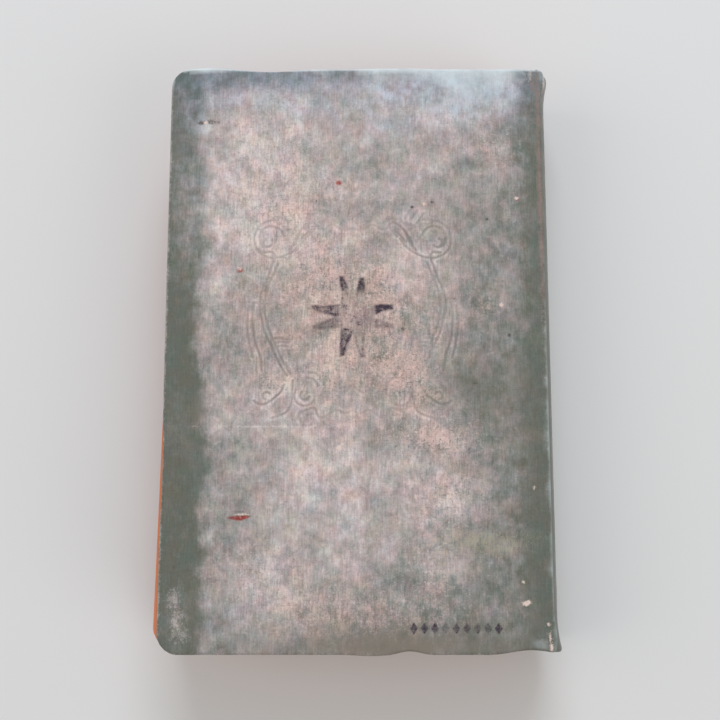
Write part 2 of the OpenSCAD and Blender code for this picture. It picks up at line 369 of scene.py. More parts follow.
# Head and tail bands: a cord bead wrapped in cotton, glued over the ends of the folds at the back.
# The wraps stand up as small ridges along the bead, matte and greyed by dust.
hinge = {j["name"]: Vector(j["pos_m"]) for j in frame["joints"]}
joint_x = hinge["rear_hinge"].x
joint_r = hinge["front_hinge"].z
book_t = hinge["rear_hinge"].z + joint_r
mid_z = book_t / 2
spine_lo, spine_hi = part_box("spine_cloth")
cap_flare = 1.2 * mm
spine_edge_x = joint_x + joint_r
spine_half = (spine_hi.z - spine_lo.z) / 2
spine_bulge = spine_hi.x - cap_flare - spine_edge_x
spine_r = (spine_half ** 2 + spine_bulge ** 2) / (2 * spine_bulge)
arc_x = spine_edge_x + spine_bulge - spine_r
wraps = 46
wrap_dip = 0.13
bead_r = 0.75 * mm
hair = 0.01 * mm


def wrapped_cotton():
    cloud_mm, fibre_mm = 1.5, 0.2
    made, tree, shader = start_material("wrapped_cotton", Roughness=0.8)
    place = add(tree, "Attribute", attribute_name="place").outputs["Vector"]
    cloud = add(tree, "TexNoise", {"Vector": place, "Scale": 1 / cloud_mm, "Detail": 5})
    shade = add(tree, "ValToRGB", {"Fac": cloud}, stops=[(0.3, "#8f7d5c"), (0.7, "#cdbd98")])
    fibre = add(tree, "TexNoise", {"Vector": place, "Scale": 1 / fibre_mm})
    bump = add(tree, "Bump", {"Height": fibre, "Strength": 0.4, "Distance": 0.05 * mm})
    fill(shader, {"Base Color": shade, "Normal": bump})
    return made


cotton = wrapped_cotton()
for node, side in (("head_band", 1), ("tail_band", -1)):
    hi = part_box(node)[1]
    bead_y = side * (leaf_half_h + 0.4 * mm)
    bead_arc = hi.x - arc_x - 0.3 * mm - bead_r
    top_angle = math.asin(min(0.95, (hi.z - mid_z) / bead_arc))
    bpy.ops.object.select_all(action="DESELECT")
    bpy.ops.mesh.primitive_circle_add(vertices=10, radius=bead_r, fill_type="NGON",
                                      location=(arc_x + bead_arc * math.cos(top_angle), bead_y,
                                                mid_z + bead_arc * math.sin(top_angle)))
    bead = bpy.context.object
    bead.name = node + "_bead"
    bpy.ops.object.transform_apply()
    edit(bead)
    pick(bead, "faces")
    bpy.ops.mesh.spin(steps=2 * wraps, angle=-2 * top_angle, center=(arc_x, 0, mid_z), axis=(0, 1, 0))
    pick(bead, "faces")
    bpy.ops.mesh.remove_doubles(threshold=hair)
    bpy.ops.mesh.normals_make_consistent(inside=False)
    done()
    place = corners_of(bead)
    turn = np.arctan2(place[:, 2] - mid_z, place[:, 0] - arc_x)
    reach = np.hypot(place[:, 2] - mid_z, place[:, 0] - arc_x)
    ridge = 1 - wrap_dip * (np.round((turn + top_angle) / (top_angle / wraps)) % 2)
    reach = bead_arc + (reach - bead_arc) * ridge
    place[:, 0] = arc_x + reach * np.cos(turn)
    place[:, 2] = mid_z + reach * np.sin(turn)
    place[:, 1] = bead_y + (place[:, 1] - bead_y) * ridge
    set_corners(bead, place)
    paint(bead, "place", place / mm)
    bead.data.shade_smooth()
    dress(bead, cotton)
    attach(bead, "text_block")
    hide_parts(node)


# The last leaves and the two flyleaves: single sheets that turn on their folds at the gutter.
endpaper = rag_paper("endpaper_wove", "#ddcba6", "#b8935f", 0.8)


def finish_with(piece, kind, **settings):
    """Adds a modifier to a piece and applies it."""
    take(piece)
    modifier = piece.modifiers.new(kind.lower(), kind)
    for name, value in settings.items():
        setattr(modifier, name, value)
    bpy.ops.object.modifier_apply(modifier=modifier.name)


loose_leaves = {"rear_flyleaf": endpaper, "front_flyleaf": endpaper}
loose_leaves.update({n: leaf_paper for n in frame["nodes"] if n.startswith("turning_leaf_")})
for node, paper in loose_leaves.items():
    lo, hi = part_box(node)
    thickness = hi.z - lo.z
    back_x = hi.x - thickness / 2
    middle_z = (lo.z + hi.z) / 2
    leaf = new_sheet(node + "_sheet", lo.x, back_x, hi.y, middle_z, 1.8 * mm, leaf_corner_r)
    finish_with(leaf, "SOLIDIFY", thickness=thickness, offset=0)
    keep_place(leaf)
    slip(leaf)
    leaf_finish(leaf, paper)
    leaf.data.shade_smooth()
    leaf.data.set_sharp_from_angle(angle=math.radians(40))
    if node == "front_flyleaf":
        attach(leaf, "front_cover")
    else:
        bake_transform(leaf)
    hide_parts(node)


# The boards: thin pulp card inside each cover, stopping short of the joint so that the cloth can fold there.
# Pressed from pulp, the card is matte, dull brown and a little cloudy. The rear cover has sprung up a little
# in its middle, and everything pasted to it follows.
cover_lo, cover_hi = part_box("rear_cloth")
fore_x = cover_lo.x
cover_half_h = cover_hi.y
cover_corner_r = 6.5 * mm
cover_rise = 1.3 * mm
board_t = 0.9 * mm
board_setback = 3 * mm
board_inset = 2 * mm
pulp = lining_stock("board_pulp_card", "#a28a68", "#7d684c", 0.4, 0.9)


def spring_up(piece):
    """Bows a piece of the rear cover up in the middle with a lattice whose edges stay put."""
    bpy.ops.object.select_all(action="DESELECT")
    bpy.ops.object.add(type="LATTICE", location=((fore_x + joint_x) / 2, 0, book_t - joint_r))
    cage = bpy.context.object
    columns, rows, deep = 6, 8, 6 * mm
    cage.data.points_u, cage.data.points_v, cage.data.points_w = columns, rows, 2
    cage.scale = ((joint_x - fore_x) / (columns - 1), 2 * cover_half_h / (rows - 1), deep)
    for n, point in enumerate(cage.data.points):
        column, row = n % columns, n // columns % rows
        if 0 < column < columns - 1 and 0 < row < rows - 1:
            swell = cover_rise * (0.75 + 0.25 * math.sin(1.9 * column + 1.3 * row))
            point.co_deform.z += swell / deep
    bpy.context.view_layer.update()
    finish_with(piece, "LATTICE", object=cage)
    bpy.data.objects.remove(cage)


for node, body, centre_z in (("rear_board", "rear_cover", book_t - joint_r),
                             ("front_board", "front_cover", joint_r)):
    board = new_sheet(node + "_card", fore_x + board_inset, joint_x - board_setback,
                      cover_half_h - board_inset, centre_z, 5 * mm, cover_corner_r - board_inset)
    finish_with(board, "SOLIDIFY", thickness=board_t, offset=0)
    if body == "rear_cover":
        spring_up(board)
    dress(board, pulp)
    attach(board, body)
    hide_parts(node)


# The case: one piece of starched green calico drawn over both boards and the spine, and turned in all round.
# Here it is two pieces of cloth, so that each can bend on its own joint: the rear one carries the spine.
edge_r = joint_r
weave_step = 1.25 * mm
turn_in = 12 * mm
spine_turn_in = 10 * mm
skin_t = 0.3 * mm
top_z = book_t
edge_z = book_t - edge_r
strip_drop = edge_z - spine_hi.z
half_turn = math.asin(spine_half / spine_r)


def at_joint(edge):
    """True on the open edge of the outer cloth along the joint, down to the rim of its rolled ends."""
    return edge.is_boundary and all(
        v.co.x > joint_x - hair and v.co.z > edge_z - hair for v in edge.verts)


def cover_skin(name):
    """The cloth of one cover, built at the rear: outer face, rolled edges, turn-ins and joint strip."""
    skin = new_sheet(name, fore_x + edge_r, joint_x, cover_half_h - edge_r, top_z, weave_step,
                     cover_corner_r - edge_r)
    edit(skin)
    pick(skin, "edges", lambda e: e.is_boundary and min(v.co.x for v in e.verts) < joint_x - hair)
    span = joint_x - fore_x - edge_r
    rise = cover_half_h - edge_r
    rim = [(edge_r * math.sin(a), edge_r * (1 - math.cos(a))) for a in np.radians(range(18, 181, 18))]
    out_now, down_now = 0.0, 0.0
    for out, down in rim + [(edge_r - turn_in, 2 * edge_r)]:
        bpy.ops.mesh.extrude_edges_move(TRANSFORM_OT_translate={"value": (0, 0, down_now - down)})
        bpy.ops.transform.resize(
            value=((span + out) / (span + out_now), (rise + out) / (rise + out_now), 1),
            center_override=(joint_x, 0, top_z))
        out_now, down_now = out, down
    pick(skin, "edges", at_joint)
    bpy.ops.mesh.spin(steps=5, angle=-math.pi / 2, center=(joint_x, 0, edge_z), axis=(0, 1, 0))
    for _ in range(2):
        bpy.ops.mesh.extrude_edges_move(TRANSFORM_OT_translate={"value": (0, 0, -strip_drop / 2)})
    return skin


def close_skin(skin):
    """Welds the rolled corners, faces the cloth outwards and gives it its thickness."""
    pick(skin, "faces")
    bpy.ops.mesh.remove_doubles(threshold=2 * hair)
    bpy.ops.mesh.dissolve_degenerate(threshold=hair)
    bpy.ops.mesh.select_all(action="SELECT")
    bpy.ops.mesh.normals_make_consistent(inside=False)
    done()
    finish_with(skin, "SOLIDIFY", thickness=skin_t, offset=-1)


rear_case = cover_skin("rear_case_cloth")
bpy.ops.transform.rotate(value=half_turn, orient_axis="Y", center_override=(spine_edge_x, 0, spine_hi.z))
bpy.ops.mesh.spin(steps=26, angle=-2 * half_turn, center=(arc_x, 0, mid_z), axis=(0, 1, 0))
pick(rear_case, "edges", lambda e: e.is_boundary and all(
    abs(v.co.y) > cover_half_h - 5 * hair and v.co.z < edge_z - hair for v in e.verts))
rolled = [(edge_r * (1 - math.cos(a)), edge_r * (1 - math.sin(a))) for a in np.radians((120, 150, 180))]
deep_now, level_now = edge_r, 0.0
for deep, level in rolled + [(2 * edge_r, edge_r + spine_turn_in)]:
    shrink = (spine_r - deep) / (spine_r - deep_now)
    inward = (cover_half_h - level) / (cover_half_h - level_now)
    bpy.ops.mesh.extrude_edges_move()
    bpy.ops.transform.resize(value=(shrink, inward, shrink), center_override=(arc_x, 0, mid_z))
    deep_now, level_now = deep, level
close_skin(rear_case)

front_case = cover_skin("front_case_cloth")
bpy.ops.mesh.extrude_edges_move(TRANSFORM_OT_translate={"value": (-skin_t, 0, -0.8 * mm)})
pick(front_case, "faces")
bpy.ops.transform.resize(value=(1, 1, -1), center_override=(0, 0, mid_z))
close_skin(front_case)


# Wear on the edges: the caps of the spine flare over the bands, the head edge is pressed in here and there,
# and the tail edge and the corner by the spine are dented. Each pull is a place, a move and a reach.
def pull(piece, at, move, reach):
    """In edit mode, pulls the cloth near a place, as with a thumb, fading out at a reach."""
    shape = bmesh.from_edit_mesh(piece.data)
    nearest = min(shape.verts, key=lambda v: (v.co - Vector(at)).length_squared)
    pick(piece, "verts", lambda v: v == nearest)
    bpy.ops.transform.translate(value=move, use_proportional_edit=True, use_proportional_connected=False,
                                proportional_edit_falloff="SMOOTH", proportional_size=reach)


cap_reach = 9 * mm


def smooth(low, high, values):
    """0 below low, 1 above high and an easy slope between."""
    t = np.clip((values - low) / (high - low), 0, 1)
    return t * t * (3 - 2 * t)


def flare_caps(piece):
    """Bends the ends of the spine outwards over the bands."""
    place = corners_of(piece)
    on_spine = smooth(spine_edge_x - 0.6 * mm, spine_edge_x + 1.6 * mm, place[:, 0])
    near_cap = np.clip((np.abs(place[:, 1]) - cover_half_h + cap_reach) / cap_reach, 0, 1) ** 2
    place[:, 0] += cap_flare * on_spine * near_cap
    set_corners(piece, place)


flare_caps(rear_case)
edit(rear_case)
edge_pulls = [
    ((-26 * mm, cover_half_h, edge_z), (0, -0.75 * mm, 0), 15 * mm),
    ((-42 * mm, cover_half_h, edge_z), (0, 0.35 * mm, 0), 9 * mm),
    ((10 * mm, cover_half_h, edge_z), (0, 0.3 * mm, 0), 14 * mm),
    ((12 * mm, -cover_half_h, edge_z), (0, 0.9 * mm, 0), 6 * mm),
    ((2 * mm, -cover_half_h, edge_z), (0, -0.3 * mm, 0), 8 * mm),
    ((44 * mm, -cover_half_h, edge_z), (0, 1.2 * mm, 0), 11 * mm),
    ((fore_x, -30 * mm, edge_z), (0.35 * mm, 0, 0), 24 * mm),
    ((spine_edge_x, 76.5 * mm, spine_hi.z), (1.5 * mm, 0, 0), 4.5 * mm),
    ((spine_edge_x, -75 * mm, spine_hi.z), (0.7 * mm, 0, 0), 6 * mm),
]
for at, move, reach in edge_pulls:
    pull(rear_case, at, move, reach)
done()

# The inlay: a strip of the same card that stiffens the spine. It is pasted inside the cloth and rounded with
# it, stops short of the joints at both sides, and leaves room for the turn-ins at head and tail.
inlay_t = 0.4 * mm
inlay_r = spine_r - skin_t - 5 * hair
inlay_half = inlay_r * half_turn - 1.2 * mm
inlay = new_sheet("spine_inlay_card", -inlay_half, inlay_half, cover_half_h - board_inset, 0, 1.5 * mm)
place = corners_of(inlay)
turn = place[:, 0] / inlay_r
place[:, 0] = arc_x + inlay_r * np.cos(turn)
place[:, 2] = mid_z + inlay_r * np.sin(turn)
set_corners(inlay, place)
flare_caps(inlay)
finish_with(inlay, "SOLIDIFY", thickness=inlay_t, offset=1)
inlay.data.shade_smooth()
dress(inlay, pulp)
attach(inlay, "text_block")
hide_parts("spine_inlay")


# The stamped ornament: a blind frame of scrolls round a cross with eight points, both pressed by a hot die.
# The frame is drawn as strokes on its left half, in millimetres from the middle of the cross, and mirrored.
die_x, die_y = -3.0 * mm, 8.9 * mm


def ring(cx, cy, radius, start=0, end=360):
    """Points along an arc, anticlockwise."""
    return [(cx + radius * math.cos(math.radians(a)), cy + radius * math.sin(math.radians(a)))
            for a in range(start, end + 1, 15)]


scroll_head = [
    [(-19.2, 27.2), (-22.4, 26.9), (-25.4, 25.5), (-26.7, 23.1), (-26.8, 20.7), (-25.9, 18.4), (-23.1, 16.6),
     (-20.8, 16.4), (-17.6, 17.5), (-14.9, 19.3), (-13.0, 21.8)],
    ring(-23.3, 20.6, 1.2, 105, 330), ring(-22.2, 22.0, 3.3, 15, 225),
    [(-12.2, 22.4), (-10.2, 25.0)], [(-17.2, 18.6), (-15.8, 20.6), (-14.6, 23.2)],
    [(-16.4, 20.2), (-15.3, 22.4), (-13.2, 25.2), (-11.2, 26.4)],
    [(-14.4, 21.0), (-13.0, 22.8), (-11.4, 24.2)], [(-16.0, 27.2), (-17.8, 29.8)],
    [(-17.6, 26.2), (-19.6, 29.0)], [(-14.4, 27.4), (-15.6, 29.8)],
    [(-10.6, 26.2), (-8.6, 24.4), (-5.4, 25.6), (-2.6, 24.2), (0.0, 24.8)],
]
straps = [
    [(-24.2, 17.9), (-21.6, 17.7), (-22.2, 13.8), (-23.1, 11.0), (-24.4, 8.0), (-25.1, 5.0), (-25.2, 2.0),
     (-24.6, -0.6), (-23.9, -3.6), (-22.8, -6.1), (-21.6, -8.6), (-20.5, -11.1), (-19.2, -13.6),
     (-17.6, -16.0)],
    [(-20.4, 15.0), (-21.4, 12.2), (-22.8, 9.0), (-23.7, 5.6), (-23.9, 2.4), (-23.4, -0.6), (-22.6, -3.4),
     (-21.4, -6.4), (-20.1, -9.2), (-18.9, -11.8), (-17.6, -14.2), (-16.6, -15.6)],
    [(-26.7, 4.0), (-27.1, 0.5), (-26.9, -3.0), (-26.5, -6.1), (-25.8, -8.4), (-25.0, -10.4), (-24.5, -14.6)],
    [(-28.2, 3.0), (-28.5, -2.0), (-27.9, -7.0), (-26.9, -11.0)],
    [(-21.6, -6.1), (-20.1, -5.8), (-17.8, -6.2), (-15.6, -5.9)],
    [(-21.0, -7.2), (-19.6, -6.9), (-17.2, -7.1)], [(-20.4, -8.2), (-19.0, -7.9), (-17.4, -8.1)],
    [(-17.9, -12.6), (-16.7, -15.2)],
]
scroll_tail = [
    [(-16.0, -17.4), (-16.1, -20.0), (-16.2, -22.2), (-16.6, -24.2), (-17.4, -25.6), (-18.7, -26.5),
     (-21.6, -27.5)],
    [(-26.4, -22.8), (-25.5, -23.5), (-24.1, -23.8), (-22.3, -23.1), (-20.7, -21.8), (-19.2, -20.4),
     (-18.4, -18.6)],
    ring(-23.0, -21.5, 1.0, 30, 255),
    ring(-12.8, -21.4, 1.2, 120, 345), ring(-12.8, -21.4, 2.8, 150, 390),
    [(-14.8, -27.6), (-14.2, -26.4), (-11.9, -25.2), (-10.1, -24.9), (-9.4, -26.4), (-8.6, -27.4),
     (-6.8, -26.8), (-4.4, -25.4), (-2.0, -26.2), (0.0, -25.4)],
    ring(-12.1, -28.0, 1.7, 165, 375), [(-5.2, -20.0), (-2.7, -20.6), (-1.1, -19.7), (0.0, -18.5)],
    [(-8.4, -17.4), (-9.6, -15.6), (-11.6, -15.2)], [(-9.2, -18.8), (-10.6, -17.0), (-12.6, -16.6)],
]
drawn = bpy.data.curves.new("scroll_strokes", "CURVE")
drawn.dimensions = "3D"
drawn.resolution_u = 12
for side in (1, -1):
    for stroke in scroll_head + straps + scroll_tail:
        line = drawn.splines.new("BEZIER")
        line.bezier_points.add(len(stroke) - 1)
        for point, (x, y) in zip(line.bezier_points, stroke):
            point.co = (die_x + side * x * mm, die_y + y * mm, top_z)
            point.handle_left_type = point.handle_right_type = "AUTO"
die = bpy.data.objects.new("scroll_die", drawn)
bpy.context.scene.collection.objects.link(die)
take(die)
bpy.ops.object.convert(target="MESH")
die = bpy.context.object
cut = kdtree.KDTree(len(die.data.vertices))
for n, v in enumerate(die.data.vertices):
    cut.insert(v.co, n)
cut.balance()
bpy.data.objects.remove(die)

# Places that need finer cloth: the strokes, the cross, the row of lozenges, the caps and the marks of wear.
# A mark has its middle, half width and half height in millimetres, and its strength.
crease_y = -20.8 * mm
crease_from, crease_to = -47 * mm, -2 * mm
cap_from_y = 68 * mm
stroke_reach = 1.1 * mm
cross_field = 12.4 * mm
row_margin = 2 * mm
mark_rim_mm = 1.2
cross_reach = 10.8 * mm
cross_spread = 3.3 * mm
row = dict(start=11.6 * mm, end=36.4 * mm, y=-73.2 * mm, half_h=1.6 * mm, half_w=1.15 * mm, lozenges=9)
holes = [
    (-6.8, 46.6, 0.85, 0.65, 0.95), (-34.6, -44.9, 1.4, 0.45, 0.85), (-32.6, -45.0, 1.4, 0.65, 1.0),
    (-30.9, -44.6, 1.1, 0.45, 0.9), (-33.7, 21.9, 1.0, 0.9, 0.8), (42.3, 41.7, 0.8, 0.4, 0.6),
    (16.9, 40.2, 0.5, 0.3, 0.6), (37.4, 11.8, 0.6, 0.3, 0.6),
]
dots = [
    (13.3, 39.7, 0.45, 0.4, 0.9), (18.9, 41.1, 0.45, 0.4, 0.8), (33.9, 36.3, 0.5, 0.45, 0.9),
    (39.3, 3.9, 0.5, 0.5, 0.9), (29.9, -9.1, 0.7, 0.4, 0.7), (10.6, 5.6, 0.6, 0.6, 0.6),
    (-42.4, 64.3, 1.1, 0.75, 0.75), (-45.2, 63.9, 1.0, 0.6, 0.7), (-40.6, 64.1, 0.7, 0.5, 0.5),
    # The thin dot at (-32.8, -43.3), above the slit, is a painted shadow of the slit's lifted lip.
    (-32.8, -43.3, 1.6, 0.35, 0.4), (-13.0, 41.4, 0.3, 0.3, 0.6), (24.6, 13.9, 0.4, 0.3, 0.6),
    (-49.6, -57.6, 0.3, 0.5, 0.6),
]
chips = [
    (42.1, 42.2, 0.55, 0.4, 1.0), (16.7, 40.6, 0.6, 0.5, 0.9), (37.3, 12.2, 0.6, 0.5, 0.9),
    (42.0, -67.0, 0.8, 0.6, 1.0), (43.0, -66.6, 0.6, 0.5, 0.9), (41.6, -61.5, 0.5, 0.4, 0.7),
    (-31.4, -44.0, 1.5, 0.32, 0.8), (-33.4, -44.1, 0.9, 0.3, 0.6), (-43.9, 64.0, 0.55, 0.4, 1.0),
    (-6.5, -26.5, 0.6, 0.6, 1.2), (-33.8, 22.3, 0.8, 0.6, 0.65), (45.0, -37.0, 0.4, 0.7, 0.7),
    (7.4, 41.6, 0.4, 0.4, 0.6), (2.6, -10.0, 0.4, 0.4, 0.7), (-10.6, -52.0, 0.4, 0.4, 0.6),
    (21.0, -22.0, 0.4, 0.4, 0.7),
]


def fine_place(face):
    """True on the caps of the spine, and on the cover where it has a crease, a stroke or a mark."""
    spot = face.calc_center_median()
    if min(face.normal.x, face.normal.z) > -0.1 and spot.x > joint_x - 2 * mm and spot.z > top_z - 8 * mm:
        return abs(spot.y) > cap_from_y
    if spot.z < top_z - 5 * hair or face.normal.z < 0.5:
        return False
    on_crease = abs(spot.y - crease_y) < 0.9 * mm and crease_from < spot.x < crease_to
    on_cross = max(abs(spot.x - die_x), abs(spot.y - die_y)) < cross_field
    on_stroke = cut.find(spot)[2] < stroke_reach
    on_row = (row["start"] - row_margin < spot.x < row["end"] + row_margin
              and abs(spot.y - row["y"]) < 1.5 * row["half_h"])
    on_mark = any(abs(spot.x / mm - px) < rx + mark_rim_mm and abs(spot.y / mm - py) < ry + mark_rim_mm
                  for px, py, rx, ry, _ in holes + dots + chips)
    return on_crease or on_cross or on_stroke or on_row or on_mark


edit(rear_case)
pick(rear_case, "faces", fine_place)
bpy.ops.mesh.subdivide(number_cuts=4)
done()

# Where the die, the ink and a century of handling have left their marks, and where light and shade are
# painted, in millimetres on the cover.
place = corners_of(rear_case)
x, y, z = place.T / mm
fore, joint, top, half_h = fore_x / mm, joint_x / mm, top_z / mm, cover_half_h / mm
on_top = (z > top - 0.6).astype(float)
from_line = np.array([cut.find(spot)[2] for spot in place]) / mm


def patches(spots):
    """Soft oval patches on the cloth at hand: for each its middle, half width, half height and strength."""
    total = np.zeros(len(x))
    for px, py, rx, ry, amount in spots:
        total += amount * np.exp(-(((x - px) / rx) ** 2 + ((y - py) / ry) ** 2))
    return total


# Rubbing has bared most of the cover, least along the fore-edge, towards the spine and in the tail band.
# The tail edge on the top is also darkened as painted shade where it rolls down.
wander = 1.2 * np.sin(0.11 * y + 0.6) + 0.7 * np.sin(0.31 * y + 2.0) + 0.45 * np.sin(0.83 * y)
lower = 2.6 * smooth(-14, -34, y) * smooth(-76, -62, y)
worn = 0.74 * smooth(-47.0, -42.0, x + wander - lower) - 0.30 * smooth(18, 36, x - wander)
worn -= 0.42 * smooth(38, 46.5, x + 0.6 * wander)
worn += 0.11 * smooth(1.0, -0.6, x) * smooth(-30, -4, x) * smooth(-19, -21, y) * smooth(-58, -50, y)
worn += 0.12 * smooth(58, 76, y)
# Painted shade: the top is darker along the tail edge, where the cover rolls down.
worn -= 0.18 * smooth(-74, -79, y) * smooth(-44, -34, x) * on_top
worn += 0.3 * smooth(top - 3, top - 9, z) * (x > joint)
worn += patches([
    (-28, 55, 17, 22, 0.24), (-32, 31, 12, 9, 0.14), (-34, 40, 8, 7, 0.14), (-13, 27, 10, 9, 0.16),
    (-34, 9, 6, 6, -0.12), (-36, -4, 8, 6, -0.14), (-37, -30, 8, 6, -0.16), (-49, 76, 6, 5, 0.3),
    (-48, 46, 5, 10, 0.42), (-48, 28, 5, 9, 0.34), (-48, 66, 6, 6, 0.24), (-50, -21, 5, 8, 0.12),
    (-48, -71, 3.2, 7, 0.35), (-22, -17, 11, 6, 0.22), (-7, -34, 13, 8, 0.22), (-34, -45, 7, 8, -0.26),
    (-27, -62, 9, 8, 0.2), (-38, -73, 7, 5, -0.2), (-21, -47, 8, 7, 0.14), (-4, -55, 9, 6, 0.14),
    (-5, -2, 5, 9, 0.12), (-17, -4, 5, 5, 0.14), (9, -41, 4, 5, 0.14), (-43, -31, 4, 5, 0.14),
    (-12, -68, 9, 6, 0.12), (-28, 78, 26, 4, -0.4), (-27, 68, 8, 6, 0.38), (10, 69, 14, 6, 0.18),
    (31, 74, 13, 7, 0.55), (42, 76, 8, 6, 0.3), (24, 65, 16, 6, 0.16), (-12, 61, 4, 6, -0.12),
    (38, 52, 12, 22, 0.2), (9.5, 22, 8, 6, 0.22), (-3, 9, 14, 14, 0.15), (3, 8, 2.5, 30, -0.14),
    (26, 6, 8, 8, -0.1), (26, -9, 7, 7, -0.22), (37, -14, 7, 8, -0.16), (42, 20, 4, 11, 0.16),
    (45, 8, 4, 12, 0.1), (17, -34, 9, 10, 0.14), (24, -39, 8, 6, 0.3), (-38, 75, 8, 3, -0.24),
    (-27, 67, 5, 4, 0.1), (-46.5, 45, 3, 5, 0.1), (-43, 55, 2.5, 4, -0.12), (-44, 20, 3, 4, -0.12),
    (-29, 17, 10, 4, 0.08), (-3, 17, 2.5, 4, 0.12), (3.4, 17, 2.2, 5, -0.2), (-28, 68, 4, 4, 0.12),
    (-16, 76, 8, 2.5, 0.1), (14, 72, 7, 3, 0.1), (-48, 64, 2.5, 4, 0.1), (-47, 25, 2.5, 6, 0.08),
    (-39, 17, 4, 7, 0.08), (14, -32, 3, 3, -0.1), (1, -37, 3, 4, -0.08), (-8, -37, 4, 3, 0.09),
    (43, -54, 4, 3, -0.07), (28, 10, 5, 3, -0.07), (19, 0, 4, 3, -0.06), (19.5, -57.5, 4, 5, 0.13),
    (33, -50.5, 7, 3, -0.08), (-33, 49, 5, 6, 0.07), (-9, -68, 6, 5, 0.06), (12, -78, 10, 3, -0.1),
    (34, -69.5, 2.5, 4, 0.14), (9, 36, 5, 4, 0.1), (-7, -10, 6, 6, 0.08), (-47, 2, 3, 5, -0.08),
    (-9, -26, 5, 4, 0.07), (37, -14, 6, 7, -0.06), (-21, 4, 4, 4, -0.07), (17, 42, 5, 4, -0.07),
    (-4, -47, 7, 3, -0.06), (21, -64, 4, 4, -0.07), (37, -71, 3, 3, 0.1), (26, -47, 9, 3, -0.14),
    (7, -64, 14, 8, -0.12), (24, -64, 11, 5, -0.24), (-38, -58, 5, 4, -0.14), (15, -74, 32, 7, -0.24),
    (24, -57, 6, 5, 0.12),
])

# The bared cotton is salmon where hands have rubbed it and pinker in the middle, with yellow stains here and
# there and soil towards the tail. The cool tint at the head is a painted reflection of the cool head light,
# and the soil along the tail edge is partly painted shade where the edge rolls down.
salmon = patches([
    (-3, 8, 24, 22, 0.12), (-9.5, 19, 8, 7, 0.5), (4, 17, 4.5, 5, 0.6), (-4, 4, 8, 7, 0.28),
    (0, -70, 24, 8, 0.25), (12.4, -9, 5, 4, 0.5), (19, -24, 9, 4.5, 0.65), (22, -40, 7, 6, 0.4),
    (19, -56, 6, 8, 0.35), (-22, 38, 10, 12, 0.25), (-24, 58, 9, 10, 0.2), (8, 8, 6, 5, 0.3),
    (-27, -58, 8, 8, 0.3), (8, -4, 7, 5, 0.5), (-10, -8, 8, 5, 0.3), (36, 58, 6, 5, 0.25),
    (-6.5, 46.6, 2.2, 1.6, 0.6), (33, 12, 3, 2, 0.4), (-10.6, 29.8, 2.2, 1.8, 0.5),
    (-24.6, -9.2, 3, 2.5, 0.55), (13.4, -3.2, 2.5, 2, 0.4), (19.2, 4.7, 2, 2, 0.45),
    (16, -12.4, 2.2, 2, 0.45),
])
blush = on_top * patches([
    (-7, 9, 26, 24, 0.8), (-22, 42, 12, 10, 0.35), (14, -16, 11, 9, 0.35), (-12, -68, 11, 7, 0.6),
    (4, -74, 14, 6, 0.4), (-32, 65, 10, 9, 0.35), (22, -34, 9, 9, 0.3), (-8, -26, 8, 7, 0.3),
])
# Painted reflection: a cool tint of the head light, strongest at the head, with patches elsewhere.
cool = on_top * (0.85 * smooth(56, 78, y) * (0.8 + 0.2 * smooth(-10, 30, x)) + patches([
    (32, 76, 15, 5, 0.6), (-48, 62, 8, 16, 0.3), (-34, -72, 9, 7, 0.3), (-46, 40, 4, 30, 0.12),
    (-44, -20, 3, 20, 0.12), (20, 64, 22, 6, 0.2), (-30, 77, 18, 4, 0.5), (47.5, 20, 2, 60, 0.2),
    (40, 24, 4, 8, 0.25), (45, -74, 4, 4, 0.3), (34, -69.5, 3, 4, 0.3),
]))
yellow = patches([
    (33, -50.5, 10, 2.2, 0.5), (35, -53.5, 5, 1.6, 0.35), (22, -55, 8, 6, 0.2), (-22, -48, 12, 5, 0.2),
    (-28, 66, 5, 4, 0.15), (-20, -25, 4, 8, 0.12),
])
# Dirt, and along the tail edge painted shade where the cover's edge rolls down.
soil = patches([
    (14, -76, 34, 6, 0.5), (28, -8, 10, 9, 0.4), (30, 38, 14, 14, 0.25), (40, -20, 8, 30, 0.2),
    (-44, -16, 2.5, 7, 0.5), (-1, -78, 30, 3, 0.5), (8, -77, 12, 3, 0.3),
])

# The edges are rubbed pale along the rim and the crease and tan at the joint, with a painted highlight
# at the head, along its rim and down the spine's edge.
from_rim = np.minimum(np.minimum(x - fore, half_h - np.abs(y)), 9)
rub = smooth(1.1, 0.1, from_rim) * (0.45 - 0.25 * smooth(74, 78, y) - 0.25 * smooth(-70, -79, y))
# Mostly rubbed edges and caps; the long thin patch down the spine's edge also paints its highlight.
rub += patches([
    (46.6, 78, 0.6, 2, 0.6), (50.8, 76, 0.6, 3.2, 0.8), (47.8, -75.5, 0.8, 4, 0.12),
    (46.6, -77, 1.6, 1.6, 0.1), (-49.6, -65, 1.6, 3, 0.28), (-48.9, -70.5, 2.2, 4, 0.3),
    (-47.6, -75, 2.2, 2, 0.3), (-25, crease_y / mm, 17, 0.3, 0.6), (48.9, -8, 0.5, 50, 0.12),
])
rub *= z > top - 3.2
rub += 0.2 * smooth(78.9, 79.8, np.abs(y)) * (x > joint)
# Painted highlight: a pale cool sheen on the head rim, across the head and down the spine's edge.
bloom = smooth(1.2, 0.3, from_rim) * smooth(72, 78, y) * (z > top - 1.2)
bloom += smooth(top - 2.6, top - 0.6, z) * patches([
    (49.4, -24, 0.6, 42, 0.42), (50, -66, 0.6, 12, 0.4), (51.5, -77.5, 1.6, 3, 0.45),
])
bloom += on_top * patches([
    (34, 78, 12, 2.8, 0.7), (16, 78, 14, 2.2, 0.45), (32, 72.5, 9, 4, 0.42), (46, -77.5, 2, 1.4, 0.4),
])
tan = 0.55 * smooth(0.8, 0.2, np.abs(x - joint - 0.1 - 0.006 * (40 - y))) * smooth(2, 16, y)
tan += patches([(47.2, 75.0, 0.8, 3.8, 0.75), (50.2, 75, 1.4, 3.5, 0.4), (48.6, 46, 0.6, 18, 0.5)])
tan *= z > top - 2.0
